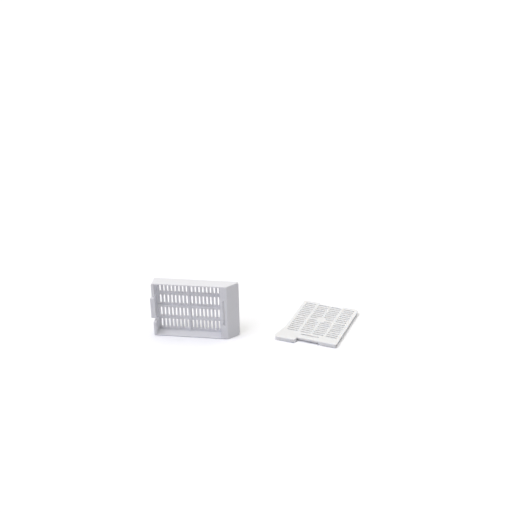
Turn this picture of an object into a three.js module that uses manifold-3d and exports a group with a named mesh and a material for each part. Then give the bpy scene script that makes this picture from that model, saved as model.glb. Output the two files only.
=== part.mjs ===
// Tissue cassette, a base and its separate slotted lid, each one moulding in white acetal.
// Millimetres, +Z up. The base stands on one long side with its open side towards -Y, and the
// lid lies flat beside it, outer face up. The origin is the middle of the side the base stands on.
//
// Both mouldings are drawn in one moulding frame: x runs from the latch end to the writing end,
// y across the cassette, and z from the underside of the floor up to the rim.

import * as THREE from 'three';
import { mergeVertices } from 'three/addons/utils/BufferGeometryUtils.js';
import Module from 'manifold-3d';

// ---------------------------------------------------------------- base: driving dimensions
const BASE_WIDTH = 28.5;          // across, and the height when it stands on its side
const BASE_DEPTH = 6.2;           // underside to rim
const RIM_LENGTH = 36;            // latch end to the start of the writing face
const WRITING_ANGLE = 45;         // degrees between the writing face and the rim
const NOSE_RADIUS = 0.9;          // rounding where the writing face meets the underside
const END_DRAFT = 0.35;           // lean of the latch end's outer face over the full depth
const LATCH_CORNER_RADIUS = 1;    // upright corners of the latch end
const WRITING_CORNER_RADIUS = 1.5; // and of the writing end
const RIM_EDGE_RADIUS = 0.35;
const UNDERSIDE_EDGE_RADIUS = 0.6;

const FLOOR_THICKNESS = 1.2;
const SIDE_WALL = 0.6;            // long walls, at the rim
const END_WALL = 1.2;             // latch end wall, at the rim
const END_WALL_DRAFT = 0.45;      // inward lean of the chamber's end walls, rim to floor
const SIDE_WALL_DRAFT = 0.2;      // and of its long walls
const CHAMBER_CORNER_RADIUS = 0.5;

const BASE_SLOT_WIDTH = 0.9;
const BASE_SLOT_LENGTH = 4.7;
const BASE_SLOT_PITCH = 1.82;
const BASE_HALVES_GAP = 2.47;     // between the two slots beside the cross rib
const BASE_SLOT_MARGIN = 0.5;     // chamber floor's end to the outermost slot, at least
const BASE_INNER_ROW = 3.4;       // slot centre lines, out from the middle of the width
const BASE_OUTER_ROW = 9.7;
const RIB_HEIGHT = 0.5;           // raised cross on the chamber floor
const LONG_RIB_WIDTH = 1.5;
const CROSS_RIB_WIDTH = 1.1;
const RIB_DRAFT = 0.15;           // each flank leans in by this much

const END_OPENING = 13.6;         // both the latch opening and the hinge slot are this long
const OPENING_SILL = 0.3;         // wall left above the floor in the latch opening
const FINGER_LENGTH = 10.6;
const FINGER_THICKNESS = 0.9;
const FINGER_INSET = 0.1;         // outer face of the finger's stem behind the end wall's face
const FINGER_DROP = 1.2;          // top of the finger's head below the rim
const FINGER_REACH = 1.3;         // how far the finger's head stands out past the end wall
const FINGER_HEAD_DEPTH = 1.3;
const FINGER_BARB_DEPTH = 1.0;    // height of the sloped underside of the head
const FINGER_CHAMFER = 0.25;

const HINGE_BAR = 1.0;            // from the chamber to the hinge slot
const HINGE_BAR_THICKNESS = 0.55;
const HINGE_SLOT_WIDTH = 1;
const HINGE_EDGE = 1.2;           // rim plate from the hinge slot to the writing face
const HINGE_WINDOW_DEPTH = 2.2;   // rim to the lower edge of the window under the bar
const TOP_THICKNESS = 1.2;        // rim plate at the writing end
const WRITING_THICKNESS = 1.2;
const CHEEK_THICKNESS = 1.0;
const NOSE_THICKNESS = 1.6;       // solid left between the hollow and the nose
const STIFFENER_THICKNESS = 0.9;

// ---------------------------------------------------------------- lid: driving dimensions
const LID_CLEARANCE = 0.15;       // lid to base, at the long walls and the latch end
const LID_HINGE_PLAY = 0.5;       // recessed edge and skirt short of the chamber's hinge end
const LID_PLATE = 0.75;
const LID_SKIRT_DEPTH = 1.5;
const LID_LIP_THICKNESS = 0.35;   // lip round the plate's upper edge
const LID_LIP_OVERHANG = 0.15;
const LID_SKIRT_THICKNESS = 0.8;
const LID_SKIRT_DRAFT = 0.1;
const LID_EDGE_SOFTENING = 0.1;
const LATCH_SKIRT_THICKNESS = 0.7; // skirt outside the latch end and round the thumb tab
const SKIRT_INNER_CORNER = 0.2;   // inside corner radius of that skirt
const EAR_LENGTH = 1.3;           // ears beside the hinge recess
const HINGE_PLAY = 0.9;           // tongue to each end of the hinge slot
const RECESS_PLAY = 0.2;          // tongue to each side of the recess in the plate
const TONGUE_REACH = 1.8;         // beyond the plate's recessed edge
const TONGUE_LENGTH_INSIDE = 0.6;
const LATCH_PLAY = 0.1;           // finger to each end of the lid's latch opening
const LATCH_OPENING_HEIGHT = 1.05; // that opening, up from the skirt's lower edge

const LID_SLOT_WIDTH = 0.75;
const LID_SLOT_LENGTH = 5.4;
const LID_SLOT_PITCH = 1.74;
const LID_HALVES_GAP = 2.23;
const LID_INNER_ROW = 3.2;
const LID_OUTER_ROW = 9.85;
const LID_SLOT_MARGIN = 0.62;     // recessed edge to the first slot
const PAD_DIAMETER = 4.6;         // plain pad in the middle of the plate
const LATCH_SLOT_LENGTH = 9.1;
const LATCH_SLOT_WIDTH = 0.8;
const LATCH_STRIP_WIDTH = 2.9;    // plate between the latch slot and the plate's edge
const LATCH_SLOT_MARGIN = 1;      // latch slot to the nearest drain slot, at least

const TAB_REACH = 2.75;           // thumb tab beyond the plate's edge
const TAB_FLARE = 1.95;           // and beyond the plate's long side
const TAB_FLARE_LENGTH = 7.7;     // plate's edge back to where the long side starts to flare
const TAB_SHOULDER = 1;           // flare's widest point, beyond the plate's edge
const TAB_OUTER_ROUND = 2.4;      // outer corner, along the tab's end edge
const TAB_INNER_CORNER = 0.5;     // inside radius of the corner beside the latch opening
const TAB_SLANT = 0.15;           // the tab's end edge runs back by this much
const EAR_CORNER_RADIUS = 0.4;

// ---------------------------------------------------------------- shared
const SLOT_CORNER_RADIUS = 0.22;
const SLOT_CHAMFER = 0.1;         // softened mouth of each slot
const CUT_MARGIN = 1;             // how far a cutter runs past the face it leaves by
const WELD = 1e-5;                // vertices this close are one
const SLOT_CORNER_SEGMENTS = 1;
const PLAN_CORNER_SEGMENTS = 3;
const EDGE_SEGMENTS = 4;
const CURVE_SEGMENTS = 5;
const NOSE_SEGMENTS = 6;
const PAD_SEGMENTS = 8;

const LID_TURN = 75.2;            // degrees about +Z, as the lid lies
const LID_PLACE = { x: 87.97, y: -1.92 };

// ---------------------------------------------------------------- worked out from them
const MID_Y = BASE_WIDTH / 2;
const CHAMBER_DEPTH = BASE_DEPTH - FLOOR_THICKNESS;
const HINGE_SLOT_START = RIM_LENGTH - HINGE_EDGE - HINGE_SLOT_WIDTH;
const CHAMBER_END = HINGE_SLOT_START - HINGE_BAR;
const CHAMBER_MIDDLE = (END_WALL + CHAMBER_END) / 2;
const LID_HEIGHT = LID_PLATE + LID_SKIRT_DEPTH;
const SKIRT_LOW_Y = SIDE_WALL + LID_CLEARANCE;
const SKIRT_HIGH_Y = BASE_WIDTH - SKIRT_LOW_Y;
const PLATE_END = CHAMBER_END - LID_HINGE_PLAY;
const LID_EDGE_TO_SKIRT = LID_LIP_OVERHANG + LATCH_SKIRT_THICKNESS;
const LID_LATCH_X = -(LID_EDGE_TO_SKIRT + LID_CLEARANCE);
const LID_CORNER_RADIUS = LID_EDGE_TO_SKIRT + SKIRT_INNER_CORNER;
const TAB_CORNER_RADIUS = LID_EDGE_TO_SKIRT + TAB_INNER_CORNER;
const FLARE_START = LID_LATCH_X + TAB_FLARE_LENGTH;
const LATCH_HALF = FINGER_LENGTH / 2 + LATCH_PLAY;
const TONGUE_WIDTH = END_OPENING - 2 * HINGE_PLAY;

// How many slots go in each half of a length, at a pitch, with a gap between the halves.
function slotsPerHalf(length, width, pitch, halvesGap) {
  return 1 + Math.max(0, Math.floor((length - width - halvesGap) / 2 / pitch));
}

const BASE_SLOTS_PER_HALF = slotsPerHalf(
  CHAMBER_END - END_WALL - 2 * (END_WALL_DRAFT + BASE_SLOT_MARGIN),
  BASE_SLOT_WIDTH, BASE_SLOT_PITCH, BASE_HALVES_GAP,
);
const LATCH_SLOT_START = LID_LATCH_X + LATCH_STRIP_WIDTH;
const LID_SLOTS_PER_HALF = slotsPerHalf(
  PLATE_END - LID_SLOT_MARGIN - LATCH_SLOT_START - LATCH_SLOT_WIDTH - LATCH_SLOT_MARGIN,
  LID_SLOT_WIDTH, LID_SLOT_PITCH, LID_HALVES_GAP,
);
const LID_FIELD_MIDDLE = PLATE_END - LID_SLOT_MARGIN - LID_SLOT_WIDTH / 2
  - (LID_SLOTS_PER_HALF - 1) * LID_SLOT_PITCH - LID_HALVES_GAP / 2;

const wasm = await Module();
wasm.setup();

// ---------------------------------------------------------------- solids
function solid(geometry) {
  const bare = new THREE.BufferGeometry();
  bare.setAttribute('position', geometry.getAttribute('position').clone());
  if (geometry.index) bare.setIndex(geometry.index.clone());
  const merged = mergeVertices(bare, WELD);
  const vertProperties = new Float32Array(merged.getAttribute('position').array);
  const triVerts = new Uint32Array(merged.index.array);
  return new wasm.Manifold(new wasm.Mesh({ numProp: 3, vertProperties, triVerts }));
}

function join(solids) {
  return solids.reduce((total, next) => total.add(next));
}

function geometryOf(manifold) {
  const mesh = manifold.getMesh();
  const geometry = new THREE.BufferGeometry();
  geometry.setAttribute('position', new THREE.BufferAttribute(mesh.vertProperties, 3));
  geometry.setIndex(new THREE.BufferAttribute(mesh.triVerts, 1));
  geometry.computeVertexNormals();
  return geometry;
}

function block(x0, y0, z0, x1, y1, z1) {
  const box = new THREE.BoxGeometry(x1 - x0, y1 - y0, z1 - z0);
  return solid(box.translate((x0 + x1) / 2, (y0 + y1) / 2, (z0 + z1) / 2));
}

// A closed solid through outlines of equal point count, each { points, z }, lowest first.
function loft(rings) {
  const count = rings[0].points.length;
  const positions = rings.flatMap(({ points, z }) => points.flatMap((p) => [p.x, p.y, z]));
  const index = [];
  for (let ring = 0; ring < rings.length - 1; ring += 1) {
    for (let i = 0; i < count; i += 1) {
      const a = ring * count + i;
      const b = ring * count + ((i + 1) % count);
      index.push(a, b, b + count, a, b + count, a + count);
    }
  }
  const top = (rings.length - 1) * count;
  for (const [a, b, c] of THREE.ShapeUtils.triangulateShape(rings[0].points, [])) {
    index.push(c, b, a);
  }
  for (const [a, b, c] of THREE.ShapeUtils.triangulateShape(rings.at(-1).points, [])) {
    index.push(top + a, top + b, top + c);
  }
  const geometry = new THREE.BufferGeometry();
  geometry.setAttribute('position', new THREE.Float32BufferAttribute(positions, 3));
  geometry.setIndex(index);
  return solid(geometry);
}

// A straight prism: an outline in the x-y plane, raised from z0 to z1.
function prism(points, z0, z1) {
  return loft([{ points, z: z0 }, { points, z: z1 }]);
}

// A prism along y: the outline is drawn in the x-z plane.
function prismAcross(shape, y0, y1) {
  const geometry = new THREE.ExtrudeGeometry(shape, {
    depth: y1 - y0, bevelEnabled: false, curveSegments: NOSE_SEGMENTS,
  });
  return solid(geometry.rotateX(Math.PI / 2).translate(0, y1, 0));
}

// A prism along x: the outline is drawn in the y-z plane.
function prismAlong(shape, x0, x1) {
  const geometry = new THREE.ExtrudeGeometry(shape, {
    depth: x1 - x0, bevelEnabled: false, curveSegments: EDGE_SEGMENTS,
  });
  const turn = new THREE.Matrix4().makeBasis(
    new THREE.Vector3(0, 1, 0), new THREE.Vector3(0, 0, 1), new THREE.Vector3(1, 0, 0),
  );
  return solid(geometry.applyMatrix4(turn).translate(x0, 0, 0));
}

function shapeOf(corners) {
  return new THREE.Shape(corners.map(([u, v]) => new THREE.Vector2(u, v)));
}

// ---------------------------------------------------------------- outlines
function roundedRectangle(x0, y0, x1, y1, lowRadius, highRadius = lowRadius) {
  const shape = new THREE.Shape();
  shape.moveTo(x0 + lowRadius, y0);
  shape.lineTo(x1 - lowRadius, y0);
  shape.absarc(x1 - lowRadius, y0 + lowRadius, lowRadius, -Math.PI / 2, 0);
  shape.lineTo(x1, y1 - highRadius);
  shape.absarc(x1 - highRadius, y1 - highRadius, highRadius, 0, Math.PI / 2);
  shape.lineTo(x0 + highRadius, y1);
  shape.absarc(x0 + highRadius, y1 - highRadius, highRadius, Math.PI / 2, Math.PI);
  shape.lineTo(x0, y0 + lowRadius);
  shape.absarc(x0 + lowRadius, y0 + lowRadius, lowRadius, Math.PI, 1.5 * Math.PI);
  return shape;
}

// The shape's corner points, with no point given twice.
function outline(shape, segments) {
  const points = shape.getPoints(segments);
  return points.filter((p, i) => p.distanceTo(points[(i + 1) % points.length]) > 2 * WELD);
}

// The same outline moved inwards by a distance, corner by corner.
function inset(points, distance) {
  return points.map((point, i) => {
    const before = points.at(i - 1);
    const after = points[(i + 1) % points.length];
    const inA = new THREE.Vector2(before.y - point.y, point.x - before.x).normalize();
    const inB = new THREE.Vector2(point.y - after.y, after.x - point.x).normalize();
    const reach = distance / (1 + inA.dot(inB));
    return new THREE.Vector2(point.x + (inA.x + inB.x) * reach, point.y + (inA.y + inB.y) * reach);
  });
}

// ---------------------------------------------------------------- slots
// A slot cutter through a wall whose softened face is at `mouth`. It is long across the cassette.
function slotCutter(x, y, width, length, back, mouth) {
  const ring = (grow) => outline(roundedRectangle(
    x - width / 2 - grow, y - length / 2 - grow, x + width / 2 + grow, y + length / 2 + grow,
    SLOT_CORNER_RADIUS + grow,
  ), SLOT_CORNER_SEGMENTS);
  return loft([
    { points: ring(0), z: back - CUT_MARGIN },
    { points: ring(0), z: mouth - SLOT_CHAMFER },
    { points: ring(SLOT_CHAMFER), z: mouth },
    { points: ring(SLOT_CHAMFER), z: mouth + CUT_MARGIN },
  ]);
}

// Two halves of evenly spaced slots, in four rows, about a middle line.
function slotField(field) {
  const rows = [-field.outerRow, -field.innerRow, field.innerRow, field.outerRow];
  const cutters = [];
  for (const side of [-1, 1]) {
    for (let i = 0; i < field.perHalf; i += 1) {
      const x = field.middle + side * (field.halvesGap / 2 + i * field.pitch);
      for (const row of rows) {
        cutters.push(slotCutter(x, MID_Y + row, field.width, field.length, field.back, field.mouth));
      }
    }
  }
  return join(cutters);
}

// ---------------------------------------------------------------- base
// Side view of the body: rim, writing face, rounded nose and underside.
function bodyProfile() {
  const slope = THREE.MathUtils.degToRad(WRITING_ANGLE);
  const noseZ = NOSE_RADIUS;
  const faceOffset = NOSE_RADIUS / Math.sin(slope);
  const noseX = RIM_LENGTH + (BASE_DEPTH - noseZ) / Math.tan(slope) - faceOffset;
  const shape = new THREE.Shape();
  shape.moveTo(END_DRAFT, 0);
  shape.lineTo(noseX, 0);
  shape.absarc(noseX, noseZ, NOSE_RADIUS, -Math.PI / 2, Math.PI / 2 - slope);
  shape.lineTo(RIM_LENGTH, BASE_DEPTH);
  shape.lineTo(0, BASE_DEPTH);
  return { shape, end: noseX + NOSE_RADIUS };
}

// Plan of the body, with its own corner radius at each end.
function bodyPlan(end) {
  const near = LATCH_CORNER_RADIUS;
  const far = WRITING_CORNER_RADIUS;
  const shape = new THREE.Shape();
  shape.moveTo(near, 0);
  shape.lineTo(end - far, 0);
  shape.absarc(end - far, far, far, -Math.PI / 2, 0);
  shape.absarc(end - far, BASE_WIDTH - far, far, 0, Math.PI / 2);
  shape.absarc(near, BASE_WIDTH - near, near, Math.PI / 2, Math.PI);
  shape.absarc(near, near, near, Math.PI, 1.5 * Math.PI);
  return outline(shape, CURVE_SEGMENTS);
}

function baseBody() {
  const { shape, end } = bodyProfile();
  const across = prismAcross(shape, 0, BASE_WIDTH);
  const upright = prism(bodyPlan(end), 0, BASE_DEPTH);
  const section = roundedRectangle(
    0, 0, BASE_WIDTH, BASE_DEPTH, UNDERSIDE_EDGE_RADIUS, RIM_EDGE_RADIUS,
  );
  return across.intersect(upright).intersect(prismAlong(section, 0, end));
}

function chamber() {
  const ring = (endLean, sideLean) => outline(roundedRectangle(
    END_WALL + endLean, SIDE_WALL + sideLean,
    CHAMBER_END - endLean, BASE_WIDTH - SIDE_WALL - sideLean, CHAMBER_CORNER_RADIUS,
  ), PLAN_CORNER_SEGMENTS);
  return loft([
    { points: ring(END_WALL_DRAFT, SIDE_WALL_DRAFT), z: FLOOR_THICKNESS },
    { points: ring(0, 0), z: BASE_DEPTH },
    { points: ring(0, 0), z: BASE_DEPTH + CUT_MARGIN },
  ]);
}

// One bar of the raised cross, between two corners on the floor, with leaning flanks.
function floorRib(x0, y0, x1, y1) {
  const ring = (lean) => [
    new THREE.Vector2(x0 + lean, y0 + lean), new THREE.Vector2(x1 - lean, y0 + lean),
    new THREE.Vector2(x1 - lean, y1 - lean), new THREE.Vector2(x0 + lean, y1 - lean),
  ];
  const root = FLOOR_THICKNESS / 2;
  return loft([
    { points: ring(0), z: root },
    { points: ring(0), z: FLOOR_THICKNESS },
    { points: ring(RIB_DRAFT), z: FLOOR_THICKNESS + RIB_HEIGHT },
  ]);
}

function floorCross() {
  const wall = SIDE_WALL / 2;
  return join([
    floorRib(END_WALL, MID_Y - LONG_RIB_WIDTH / 2, CHAMBER_END, MID_Y + LONG_RIB_WIDTH / 2),
    floorRib(
      CHAMBER_MIDDLE - CROSS_RIB_WIDTH / 2, wall,
      CHAMBER_MIDDLE + CROSS_RIB_WIDTH / 2, BASE_WIDTH - wall,
    ),
  ]);
}

// The opening in the latch end wall that leaves the finger free to bend.
function latchOpening() {
  return block(
    -CUT_MARGIN, MID_Y - END_OPENING / 2, FLOOR_THICKNESS + OPENING_SILL,
    END_WALL + END_WALL_DRAFT + CUT_MARGIN, MID_Y + END_OPENING / 2, BASE_DEPTH + CUT_MARGIN,
  );
}

// The springy latch finger: a stem out of the floor with a head that points outwards.
function latchFinger() {
  const headTop = BASE_DEPTH - FINGER_DROP;
  const headLow = headTop - FINGER_HEAD_DEPTH;
  const inner = FINGER_INSET + FINGER_THICKNESS;
  const profile = shapeOf([
    [END_DRAFT + FINGER_INSET, FLOOR_THICKNESS / 2],
    [inner + END_WALL_DRAFT, FLOOR_THICKNESS / 2],
    [inner + END_WALL_DRAFT, FLOOR_THICKNESS],
    [inner, FLOOR_THICKNESS + OPENING_SILL + END_WALL_DRAFT],
    [inner, headTop],
    [-FINGER_REACH + FINGER_CHAMFER, headTop],
    [-FINGER_REACH, headTop - FINGER_CHAMFER],
    [-FINGER_REACH, headLow],
    [FINGER_INSET, headLow - FINGER_BARB_DEPTH],
    [END_DRAFT + FINGER_INSET, FLOOR_THICKNESS],
  ]);
  return prismAcross(profile, MID_Y - FINGER_LENGTH / 2, MID_Y + FINGER_LENGTH / 2);
}

// Hollow behind the writing face, open at the underside, with a stiffener at each end of the hinge.
function writingHollow() {
  const ceiling = BASE_DEPTH - TOP_THICKNESS;
  const slope = THREE.MathUtils.degToRad(WRITING_ANGLE);
  const faceStart = RIM_LENGTH - WRITING_THICKNESS / Math.sin(slope);
  const innerX = (z) => faceStart + (BASE_DEPTH - z) / Math.tan(slope);
  const farX = bodyProfile().end - NOSE_THICKNESS;
  const farZ = BASE_DEPTH - (farX - faceStart) * Math.tan(slope);
  const profile = shapeOf([
    [HINGE_SLOT_START, -CUT_MARGIN],
    [farX, -CUT_MARGIN],
    [farX, farZ],
    [innerX(ceiling), ceiling],
    [HINGE_SLOT_START, ceiling],
  ]);
  const half = END_OPENING / 2;
  return join([
    prismAcross(profile, CHEEK_THICKNESS, MID_Y - half - STIFFENER_THICKNESS),
    prismAcross(profile, MID_Y - half, MID_Y + half),
    prismAcross(profile, MID_Y + half + STIFFENER_THICKNESS, BASE_WIDTH - CHEEK_THICKNESS),
  ]);
}

// The slot in the rim plate and the window under its bar, which the lid's tongue hooks into.
function hingeCuts() {
  const low = MID_Y - END_OPENING / 2;
  const high = MID_Y + END_OPENING / 2;
  const slotEnd = HINGE_SLOT_START + HINGE_SLOT_WIDTH;
  const slot = block(
    HINGE_SLOT_START, low, BASE_DEPTH - TOP_THICKNESS - CUT_MARGIN,
    slotEnd, high, BASE_DEPTH + CUT_MARGIN,
  );
  const window = block(
    CHAMBER_END - END_WALL_DRAFT - CUT_MARGIN, low, BASE_DEPTH - HINGE_WINDOW_DEPTH,
    HINGE_SLOT_START + HINGE_SLOT_WIDTH / 2, high, BASE_DEPTH - HINGE_BAR_THICKNESS,
  );
  return slot.add(window);
}

function cassetteBase() {
  const slots = slotField({
    middle: CHAMBER_MIDDLE,
    halvesGap: BASE_HALVES_GAP,
    pitch: BASE_SLOT_PITCH,
    perHalf: BASE_SLOTS_PER_HALF,
    innerRow: BASE_INNER_ROW,
    outerRow: BASE_OUTER_ROW,
    width: BASE_SLOT_WIDTH,
    length: BASE_SLOT_LENGTH,
    back: 0,
    mouth: FLOOR_THICKNESS,
  });
  return baseBody()
    .subtract(join([chamber(), writingHollow(), hingeCuts(), latchOpening()]))
    .add(floorCross().intersect(baseBody()))
    .subtract(slots)
    .add(latchFinger());
}

// ---------------------------------------------------------------- lid
// The latch end of the plate: the flare, the thumb tab and the latch edge, in that order.
function drawLatchEnd(shape) {
  const tabSide = MID_Y + LATCH_HALF;
  const tabEnd = LID_LATCH_X - TAB_REACH;
  const tabTop = BASE_WIDTH + TAB_FLARE;
  const round = LID_CORNER_RADIUS;
  shape.lineTo(LID_LATCH_X - TAB_SHOULDER, tabTop);
  shape.quadraticCurveTo(tabEnd, tabTop, tabEnd, tabTop - TAB_OUTER_ROUND);
  const innerX = tabEnd + TAB_SLANT + TAB_CORNER_RADIUS;
  shape.lineTo(tabEnd + TAB_SLANT, tabSide + TAB_CORNER_RADIUS);
  shape.absarc(innerX, tabSide + TAB_CORNER_RADIUS, TAB_CORNER_RADIUS, Math.PI, 1.5 * Math.PI);
  shape.lineTo(LID_LATCH_X, tabSide);
  shape.lineTo(LID_LATCH_X, round);
  shape.absarc(LID_LATCH_X + round, round, round, Math.PI, 1.5 * Math.PI);
}

// Outline of the plate, with the hinge recess between two ears at the far end.
function lidOutline() {
  const recessLow = MID_Y - TONGUE_WIDTH / 2 - RECESS_PLAY;
  const recessHigh = MID_Y + TONGUE_WIDTH / 2 + RECESS_PLAY;
  const earEnd = PLATE_END + EAR_LENGTH;
  const round = LID_CORNER_RADIUS;
  const small = EAR_CORNER_RADIUS;
  const shape = new THREE.Shape();
  shape.moveTo(LID_LATCH_X + round, 0);
  shape.lineTo(earEnd - round, 0);
  shape.absarc(earEnd - round, round, round, -Math.PI / 2, 0);
  shape.lineTo(earEnd, recessLow - small);
  shape.absarc(earEnd - small, recessLow - small, small, 0, Math.PI / 2);
  shape.lineTo(PLATE_END, recessLow);
  shape.lineTo(PLATE_END, recessHigh);
  shape.lineTo(earEnd - small, recessHigh);
  shape.absarc(earEnd - small, recessHigh + small, small, -Math.PI / 2, 0);
  shape.lineTo(earEnd, BASE_WIDTH - round);
  shape.absarc(earEnd - round, BASE_WIDTH - round, round, 0, Math.PI / 2);
  shape.lineTo(FLARE_START, BASE_WIDTH);
  drawLatchEnd(shape);
  return outline(shape, CURVE_SEGMENTS);
}

// Outline of the latch end alone, closed across the plate where the flare starts.
function latchEndOutline() {
  const shape = new THREE.Shape();
  shape.moveTo(LID_LATCH_X + LID_CORNER_RADIUS, 0);
  shape.lineTo(FLARE_START, 0);
  shape.lineTo(FLARE_START, BASE_WIDTH);
  drawLatchEnd(shape);
  return outline(shape, CURVE_SEGMENTS);
}

// The plate, with a lip that stands out round its upper edge.
function lidPlate() {
  const edge = lidOutline();
  const under = inset(edge, LID_LIP_OVERHANG);
  const lip = LID_HEIGHT - LID_LIP_THICKNESS;
  return loft([
    { points: under, z: LID_SKIRT_DEPTH },
    { points: under, z: lip },
    { points: edge, z: lip },
    { points: edge, z: LID_HEIGHT - LID_EDGE_SOFTENING },
    { points: inset(edge, LID_EDGE_SOFTENING), z: LID_HEIGHT },
  ]);
}

// The rim that hangs outside the base: along the latch edge and round the thumb tab.
function outerSkirt() {
  const edge = inset(latchEndOutline(), LID_LIP_OVERHANG);
  const ring = prism(edge, 0, LID_SKIRT_DEPTH + LID_PLATE / 2)
    .subtract(prism(inset(edge, LATCH_SKIRT_THICKNESS), -CUT_MARGIN, LID_HEIGHT + CUT_MARGIN));
  const overBase = block(
    -LID_CLEARANCE, -CUT_MARGIN, -CUT_MARGIN,
    FLARE_START + CUT_MARGIN, BASE_WIDTH + LID_CLEARANCE, LID_HEIGHT + CUT_MARGIN,
  );
  const latchGap = block(
    LID_LATCH_X - CUT_MARGIN, MID_Y - LATCH_HALF, -CUT_MARGIN,
    CUT_MARGIN, MID_Y + LATCH_HALF, LATCH_OPENING_HEIGHT,
  );
  return ring.subtract(overBase).subtract(latchGap);
}

// The skirt that drops into the chamber: two long sides and the hinge end, open at the latch.
function innerSkirt() {
  const start = END_WALL + LID_CLEARANCE;
  const ring = (lean) => [
    new THREE.Vector2(start + lean, SKIRT_LOW_Y + lean),
    new THREE.Vector2(PLATE_END - lean, SKIRT_LOW_Y + lean),
    new THREE.Vector2(PLATE_END - lean, SKIRT_HIGH_Y - lean),
    new THREE.Vector2(start + lean, SKIRT_HIGH_Y - lean),
  ];
  const outer = loft([
    { points: ring(LID_SKIRT_DRAFT), z: 0 },
    { points: ring(0), z: LID_SKIRT_DEPTH },
    { points: ring(0), z: LID_SKIRT_DEPTH + LID_PLATE / 2 },
  ]);
  const inner = block(
    start - CUT_MARGIN, SKIRT_LOW_Y + LID_SKIRT_THICKNESS, -CUT_MARGIN,
    PLATE_END - LID_SKIRT_THICKNESS, SKIRT_HIGH_Y - LID_SKIRT_THICKNESS, LID_HEIGHT + CUT_MARGIN,
  );
  return outer.subtract(inner);
}

// The tongue that hooks under the base's hinge bar.
function hingeTongue() {
  const thickness = LID_SKIRT_DEPTH - HINGE_BAR_THICKNESS - LID_CLEARANCE / 2;
  const tip = PLATE_END + TONGUE_REACH;
  const profile = shapeOf([
    [PLATE_END - TONGUE_LENGTH_INSIDE, 0],
    [tip - thickness / 2, 0],
    [tip, thickness / 2],
    [tip, thickness],
    [PLATE_END - TONGUE_LENGTH_INSIDE, thickness],
  ]);
  return prismAcross(profile, MID_Y - TONGUE_WIDTH / 2, MID_Y + TONGUE_WIDTH / 2);
}

// A round plain pad keeps the slots off the middle of the plate.
function centrePad() {
  const pad = new THREE.Shape();
  pad.absarc(LID_FIELD_MIDDLE, MID_Y, PAD_DIAMETER / 2, 0, 2 * Math.PI);
  return prism(outline(pad, PAD_SEGMENTS), 0, LID_HEIGHT + CUT_MARGIN);
}

function cassetteLid() {
  const slots = slotField({
    middle: LID_FIELD_MIDDLE,
    halvesGap: LID_HALVES_GAP,
    pitch: LID_SLOT_PITCH,
    perHalf: LID_SLOTS_PER_HALF,
    innerRow: LID_INNER_ROW,
    outerRow: LID_OUTER_ROW,
    width: LID_SLOT_WIDTH,
    length: LID_SLOT_LENGTH,
    back: LID_SKIRT_DEPTH,
    mouth: LID_HEIGHT,
  });
  const latchSlot = slotCutter(
    LATCH_SLOT_START + LATCH_SLOT_WIDTH / 2, MID_Y,
    LATCH_SLOT_WIDTH, LATCH_SLOT_LENGTH, LID_SKIRT_DEPTH, LID_HEIGHT,
  );
  return join([lidPlate(), outerSkirt(), innerSkirt(), hingeTongue()])
    .subtract(slots.subtract(centrePad()))
    .subtract(latchSlot);
}

// ---------------------------------------------------------------- the two pieces in place
function part(name, manifold, material) {
  const mesh = new THREE.Mesh(geometryOf(manifold), material);
  mesh.name = name;
  return mesh;
}

const baseAcetal = new THREE.MeshStandardMaterial({ color: '#ecebef', roughness: 0.45, metalness: 0 });
const lidAcetal = new THREE.MeshStandardMaterial({ color: '#efeeea', roughness: 0.5, metalness: 0 });

const base = part('cassette_base', cassetteBase(), baseAcetal);
base.rotation.x = Math.PI / 2;
base.position.y = BASE_DEPTH;

const lid = part('cassette_lid', cassetteLid(), lidAcetal);
lid.rotation.z = THREE.MathUtils.degToRad(LID_TURN);
lid.position.set(LID_PLACE.x, LID_PLACE.y, 0);

const cassette = new THREE.Group();
cassette.add(base, lid);
cassette.position.set(-bodyProfile().end / 2, -BASE_DEPTH / 2, 0);

export default cassette;
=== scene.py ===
"""Tissue cassette: the slotted base stands on one long side and its lid lies beside it.

Everything is in metres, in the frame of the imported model: +X from the base's latch end towards
the lid, +Y from the open side towards the floor's underside, +Z up."""

import math

import bpy
from mathutils import Matrix, Vector


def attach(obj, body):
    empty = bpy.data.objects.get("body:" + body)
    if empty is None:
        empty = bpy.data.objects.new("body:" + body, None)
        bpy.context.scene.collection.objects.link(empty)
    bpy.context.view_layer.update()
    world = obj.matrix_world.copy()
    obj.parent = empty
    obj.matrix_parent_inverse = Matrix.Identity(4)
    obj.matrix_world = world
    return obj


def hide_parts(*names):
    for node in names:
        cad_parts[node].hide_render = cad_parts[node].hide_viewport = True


MM = 0.001

# ------------------------------------------------------------------ edges of the mouldings
BASE_EDGE_ROUND = 0.10 * MM
LID_EDGE_ROUND = 0.06 * MM
EDGE_SEGMENTS = 2
EDGE_ANGLE = math.radians(32)       # edges that turn by more are rounded
SMOOTH_ANGLE = math.radians(32)     # and those that turn by less are shaded smooth
MERGE_DISTANCE = 0.002 * MM
FLAT_ANGLE = math.radians(0.6)      # faces that turn by less are one flat face
WRITING_SLANT = 0.4                 # least share of the writing face's normal along +X and -Y

# ------------------------------------------------------------------ acetal
BASE_WHITE = (0.825, 0.828, 0.862, 1.0)
BASE_CLOUD = (0.812, 0.815, 0.851, 1.0)
LID_WHITE = (0.87, 0.872, 0.884, 1.0)
LID_CLOUD = (0.855, 0.857, 0.866, 1.0)

# translucency, depth of the mould grain, and roughness where the mould is smooth and matte
BASE_FINISH = {"translucency": 0.15, "grain_depth": 0.004 * MM, "smooth": 0.38, "matte": 0.48}
WRITING_FINISH = {"translucency": 0.15, "grain_depth": 0.012 * MM, "smooth": 0.55, "matte": 0.65}
LID_FINISH = {"translucency": 1.0, "grain_depth": 0.004 * MM, "smooth": 0.40, "matte": 0.50}

ACETAL_IOR = 1.48
SCATTER_DISTANCE = 1.0 * MM
SCATTER_BY_COLOUR = (1.0, 0.95, 0.9)

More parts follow.
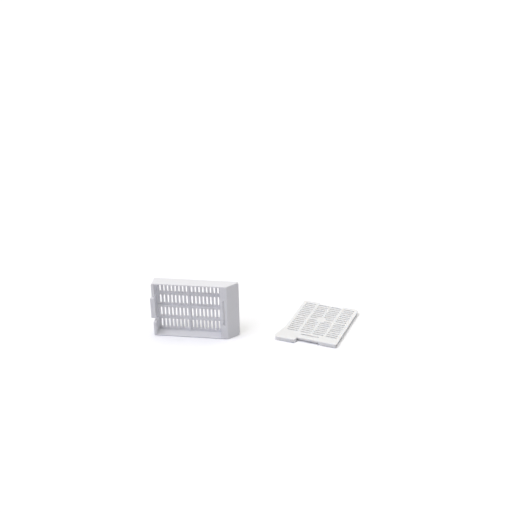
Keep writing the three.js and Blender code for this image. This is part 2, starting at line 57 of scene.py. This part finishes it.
# how many of each fit in a metre, how finely each is broken up, and the waves' depth
GRAIN_PER_METRE, GRAIN_DETAIL = 9000.0, 2.0
WAVES_PER_METRE, WAVE_DETAIL = 220.0, 1.0
WAVE_DEPTH = 0.02 * MM
CLOUDS_PER_METRE, CLOUD_DETAIL = 120.0, 3.0
PATCHES_PER_METRE, PATCH_DETAIL = 400.0, 2.0

# part of the noise's range that is spread over the whole change of tone or sheen
CLOUD_RANGE = (0.35, 0.65)
PATCH_RANGE = (0.3, 0.7)
RELIEF_UNIT = 1.0                   # the relief's height is in metres already

# ------------------------------------------------------------------ stage
# name: level, softness, tint and the direction that the light comes from
LAMPS = {
    "overhead": (2.32, math.radians(70), (1.0, 0.985, 0.91), Vector((0.05, 0.05, 1.0))),
    "left_key": (1.12, math.radians(50), (0.88, 0.88, 1.0), Vector((-0.5, -0.4, 0.77))),
}
SKY_LEVEL = 0.03
SKY_TINT = (0.93, 0.95, 1.0, 1.0)
BACKGROUND_WHITE = (1.0, 1.0, 1.0, 1.0)
FLOOR_SIZE = 12.0
FLOOR_WHITE = (1.06, 1.066, 1.108, 1.0)     # as it is seen
FLOOR_BOUNCE = (0.83, 0.83, 0.87, 1.0)      # as it lights the cassette

CAMERA_PLACE = Vector((91.228, -415.571, 258.992)) * MM
CAMERA_YAW = math.radians(8.463)
CAMERA_PITCH = math.radians(27.106)         # down from level
CAMERA_ROLL = math.radians(-1.284)
CAMERA_LENS = 72.32
CAMERA_NEAR = 10 * MM
SENSOR_WIDTH = 36.0

# ------------------------------------------------------------------ node helpers
NODE_COLUMN = 250
NODE_ROW = -200
COLOUR_A, COLOUR_B, COLOUR_RESULT = 6, 7, 2     # the colour sockets of a Mix node


def add_node(tree, kind, column, row, **settings):
    """A node in the given column and row of the tree's layout."""
    node = tree.nodes.new(kind)
    node.location = (column * NODE_COLUMN, row * NODE_ROW)
    for name, value in settings.items():
        setattr(node, name, value)
    return node


def new_group(name, inputs, outputs):
    """A shader group with named sockets, and its input and output nodes."""
    tree = bpy.data.node_groups.new(name, "ShaderNodeTree")
    for label, kind, value in inputs:
        socket = tree.interface.new_socket(label, in_out="INPUT", socket_type=kind)
        if value is not None:
            socket.default_value = value
    for label, kind in outputs:
        tree.interface.new_socket(label, in_out="OUTPUT", socket_type=kind)
    return tree, add_node(tree, "NodeGroupInput", 0, 0), add_node(tree, "NodeGroupOutput", 4, 0)


def add_noise(tree, row, position, scale, detail):
    """The value of a noise at a position."""
    noise = add_node(tree, "ShaderNodeTexNoise", 1, row)
    noise.inputs["Detail"].default_value = detail
    tree.links.new(position, noise.inputs["Vector"])
    tree.links.new(scale, noise.inputs["Scale"])
    return noise.outputs["Fac"]


def add_math(tree, column, row, operation, first, second):
    """The result of a sum on two values."""
    node = add_node(tree, "ShaderNodeMath", column, row, operation=operation)
    tree.links.new(first, node.inputs[0])
    tree.links.new(second, node.inputs[1])
    return node.outputs["Value"]


def add_spread(tree, value, taken):
    """A Map Range node that spreads the taken part of a value's range."""
    spread = add_node(tree, "ShaderNodeMapRange", 2, 0)
    spread.inputs["From Min"].default_value, spread.inputs["From Max"].default_value = taken
    tree.links.new(value, spread.inputs["Value"])
    return spread


def seen_directly(tree):
    """1 for rays from the camera, and for mirrored and transmitted ones, and 0 for the rest."""
    rays = add_node(tree, "ShaderNodeLightPath", 0, 0)
    seen = add_math(
        tree, 1, 0, "MAXIMUM", rays.outputs["Is Camera Ray"], rays.outputs["Is Glossy Ray"]
    )
    return add_math(tree, 2, 0, "MAXIMUM", seen, rays.outputs["Is Transmission Ray"])


# ------------------------------------------------------------------ effects of the moulding
def moulded_surface():
    """Fine mould grain over slow waviness, as a height in metres."""
    tree, given, made = new_group(
        "moulded_surface",
        [
            ("Position", "NodeSocketVector", None),
            ("Grain per metre", "NodeSocketFloat", GRAIN_PER_METRE),
            ("Grain depth", "NodeSocketFloat", None),
            ("Waves per metre", "NodeSocketFloat", WAVES_PER_METRE),
            ("Wave depth", "NodeSocketFloat", WAVE_DEPTH),
        ],
        [("Height", "NodeSocketFloat")],
    )
    position = given.outputs["Position"]
    grain = add_noise(tree, 0, position, given.outputs["Grain per metre"], GRAIN_DETAIL)
    wave = add_noise(tree, 1, position, given.outputs["Waves per metre"], WAVE_DETAIL)
    fine = add_math(tree, 2, 0, "MULTIPLY", grain, given.outputs["Grain depth"])
    slow = add_math(tree, 2, 1, "MULTIPLY", wave, given.outputs["Wave depth"])
    tree.links.new(add_math(tree, 3, 0, "ADD", fine, slow), made.inputs["Height"])
    return tree


def resin_tone():
    """The resin's white with faint cloudy changes of tone, as slow-cooled resin has."""
    tree, given, made = new_group(
        "resin_tone",
        [
            ("Position", "NodeSocketVector", None),
            ("White", "NodeSocketColor", None),
            ("Cloud", "NodeSocketColor", None),
            ("Clouds per metre", "NodeSocketFloat", CLOUDS_PER_METRE),
        ],
        [("Color", "NodeSocketColor")],
    )
    cloud = add_noise(
        tree, 0, given.outputs["Position"], given.outputs["Clouds per metre"], CLOUD_DETAIL
    )
    spread = add_spread(tree, cloud, CLOUD_RANGE)
    blend = add_node(tree, "ShaderNodeMix", 3, 0, data_type="RGBA")
    link = tree.links.new
    link(spread.outputs["Result"], blend.inputs["Factor"])
    link(given.outputs["White"], blend.inputs[COLOUR_A])
    link(given.outputs["Cloud"], blend.inputs[COLOUR_B])
    link(blend.outputs[COLOUR_RESULT], made.inputs["Color"])
    return tree


def satin_sheen():
    """Roughness that drifts between two values, as it does over a polished and a worn mould."""
    tree, given, made = new_group(
        "satin_sheen",
        [
            ("Position", "NodeSocketVector", None),
            ("Smooth", "NodeSocketFloat", None),
            ("Matte", "NodeSocketFloat", None),
            ("Patches per metre", "NodeSocketFloat", PATCHES_PER_METRE),
        ],
        [("Roughness", "NodeSocketFloat")],
    )
    patch = add_noise(
        tree, 0, given.outputs["Position"], given.outputs["Patches per metre"], PATCH_DETAIL
    )
    spread = add_spread(tree, patch, PATCH_RANGE)
    link = tree.links.new
    link(given.outputs["Smooth"], spread.inputs["To Min"])
    link(given.outputs["Matte"], spread.inputs["To Max"])
    link(spread.outputs["Result"], made.inputs["Roughness"])
    return tree


def acetal(name, effects, white, cloud, translucency, grain_depth, smooth, matte):
    """White moulded acetal: a satin, slightly translucent plastic."""
    material = bpy.data.materials.new(name)
    material.use_nodes = True
    tree = material.node_tree
    shader = tree.nodes["Principled BSDF"]
    shader.inputs["IOR"].default_value = ACETAL_IOR
    shader.inputs["Subsurface Weight"].default_value = translucency
    shader.inputs["Subsurface Radius"].default_value = SCATTER_BY_COLOUR
    shader.inputs["Subsurface Scale"].default_value = SCATTER_DISTANCE
    place = add_node(tree, "ShaderNodeTexCoord", -4, 0)
    tone, sheen, relief = (
        add_node(tree, "ShaderNodeGroup", -2, row, node_tree=effect)
        for row, effect in enumerate(effects)
    )
    tone.inputs["White"].default_value = white
    tone.inputs["Cloud"].default_value = cloud
    sheen.inputs["Smooth"].default_value = smooth
    sheen.inputs["Matte"].default_value = matte
    relief.inputs["Grain depth"].default_value = grain_depth
    bump = add_node(tree, "ShaderNodeBump", -1, 2)
    bump.inputs["Distance"].default_value = RELIEF_UNIT
    link = tree.links.new
    for effect in (tone, sheen, relief):
        link(place.outputs["Object"], effect.inputs["Position"])
    link(tone.outputs["Color"], shader.inputs["Base Color"])
    link(sheen.outputs["Roughness"], shader.inputs["Roughness"])
    link(relief.outputs["Height"], bump.inputs["Height"])
    link(bump.outputs["Normal"], shader.inputs["Normal"])
    return material


# ------------------------------------------------------------------ pieces
def select_only(piece):
    bpy.ops.object.select_all(action="DESELECT")
    piece.select_set(True)
    bpy.context.view_layer.objects.active = piece


def rounded_moulding(node, name, edge_round):
    """A copy of a CAD node with its flat faces whole again and its edges rounded."""
    piece = bpy.data.objects.new(name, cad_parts[node].data.copy())
    bpy.context.collection.objects.link(piece)
    select_only(piece)
    bpy.ops.object.mode_set(mode="EDIT")
    bpy.ops.mesh.select_all(action="SELECT")
    bpy.ops.mesh.remove_doubles(threshold=MERGE_DISTANCE)
    bpy.ops.mesh.dissolve_limited(angle_limit=FLAT_ANGLE)
    bpy.ops.object.mode_set(mode="OBJECT")
    edges = piece.modifiers.new("edges", "BEVEL")
    edges.width = edge_round
    edges.segments = EDGE_SEGMENTS
    edges.limit_method = "ANGLE"
    edges.angle_limit = EDGE_ANGLE
    bpy.ops.object.modifier_apply(modifier=edges.name)
    bpy.ops.object.shade_smooth_by_angle(angle=SMOOTH_ANGLE)
    shading = piece.modifiers.new("shading", "WEIGHTED_NORMAL")
    shading.keep_sharp = True
    bpy.ops.object.modifier_apply(modifier=shading.name)
    return piece


def finish(piece, node, materials):
    """Gives a moulding its materials and its body, in place of its CAD node."""
    piece.data.materials.clear()
    for material in materials:
        piece.data.materials.append(material)
    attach(piece, "root")
    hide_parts(node)


def roughen_writing_face(piece):
    """Gives the largest slanted face, which is written on, the second material."""
    slanted = [
        face
        for face in piece.data.polygons
        if face.normal.x > WRITING_SLANT and -face.normal.y > WRITING_SLANT
    ]
    max(slanted, key=lambda face: face.area).material_index = 1


# ------------------------------------------------------------------ floor, light and camera
def make_floor():
    """A pale floor that keeps the cassette's shadow and is seen as white where it has none."""
    bpy.ops.object.select_all(action="DESELECT")
    bpy.ops.mesh.primitive_plane_add(size=FLOOR_SIZE)
    floor = bpy.context.object
    floor.name = "floor"
    material = bpy.data.materials.new("white_floor")
    material.use_nodes = True
    tree = material.node_tree
    tree.nodes.clear()
    colour = add_node(tree, "ShaderNodeMix", 3, 0, data_type="RGBA")
    colour.inputs[COLOUR_A].default_value = FLOOR_BOUNCE
    colour.inputs[COLOUR_B].default_value = FLOOR_WHITE
    matte = add_node(tree, "ShaderNodeBsdfDiffuse", 4, 0)
    made = add_node(tree, "ShaderNodeOutputMaterial", 5, 0)
    link = tree.links.new
    link(seen_directly(tree), colour.inputs["Factor"])
    link(colour.outputs[COLOUR_RESULT], matte.inputs["Color"])
    link(matte.outputs["BSDF"], made.inputs["Surface"])
    floor.data.materials.append(material)


def make_lights():
    """Two soft lamps, and a world that is faint as light and white where it is seen."""
    for name, (level, softness, tint, towards) in LAMPS.items():
        lamp = bpy.data.lights.new(name, "SUN")
        lamp.energy = level
        lamp.angle = softness
        lamp.color = tint
        holder = bpy.data.objects.new(name, lamp)
        holder.rotation_euler = towards.to_track_quat("Z", "Y").to_euler()
        bpy.context.collection.objects.link(holder)

    world = bpy.data.worlds.new("studio")
    bpy.context.scene.world = world
    world.use_nodes = True
    tree = world.node_tree
    sky = tree.nodes["Background"]
    sky.inputs["Color"].default_value = SKY_TINT
    sky.inputs["Strength"].default_value = SKY_LEVEL
    white = add_node(tree, "ShaderNodeBackground", 2, 1)
    white.inputs["Color"].default_value = BACKGROUND_WHITE
    mix = add_node(tree, "ShaderNodeMixShader", 3, 0)
    link = tree.links.new
    link(seen_directly(tree), mix.inputs["Fac"])
    link(sky.outputs["Background"], mix.inputs[1])
    link(white.outputs["Background"], mix.inputs[2])
    link(mix.outputs["Shader"], tree.nodes["World Output"].inputs["Surface"])


def make_camera():
    data = bpy.data.cameras.new("camera")
    data.lens = CAMERA_LENS
    data.sensor_width = SENSOR_WIDTH
    data.clip_start = CAMERA_NEAR
    camera = bpy.data.objects.new("camera", data)
    turn = (
        Matrix.Rotation(CAMERA_YAW, 4, "Z")
        @ Matrix.Rotation(math.radians(90) - CAMERA_PITCH, 4, "X")
        @ Matrix.Rotation(CAMERA_ROLL, 4, "Z")
    )
    camera.matrix_world = Matrix.Translation(CAMERA_PLACE) @ turn
    bpy.context.collection.objects.link(camera)
    bpy.context.scene.camera = camera


# ------------------------------------------------------------------ scene
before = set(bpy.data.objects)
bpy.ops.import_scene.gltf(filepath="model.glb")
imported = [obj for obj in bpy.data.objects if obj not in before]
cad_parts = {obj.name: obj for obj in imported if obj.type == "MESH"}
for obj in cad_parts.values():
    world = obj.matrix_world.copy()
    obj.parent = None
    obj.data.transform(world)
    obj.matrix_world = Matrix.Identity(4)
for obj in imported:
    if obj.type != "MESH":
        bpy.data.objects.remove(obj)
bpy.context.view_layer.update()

make_camera()
make_lights()
make_floor()

effects = (resin_tone(), satin_sheen(), moulded_surface())
base_acetal = acetal("base_acetal", effects, BASE_WHITE, BASE_CLOUD, **BASE_FINISH)
writing_acetal = acetal("writing_acetal", effects, BASE_WHITE, BASE_CLOUD, **WRITING_FINISH)
lid_acetal = acetal("lid_acetal", effects, LID_WHITE, LID_CLOUD, **LID_FINISH)

base = rounded_moulding("cassette_base", "base_moulding", BASE_EDGE_ROUND)
finish(base, "cassette_base", [base_acetal, writing_acetal])
roughen_writing_face(base)
lid = rounded_moulding("cassette_lid", "lid_moulding", LID_EDGE_ROUND)
finish(lid, "cassette_lid", [lid_acetal])

bpy.context.scene.view_settings.view_transform = "Standard"
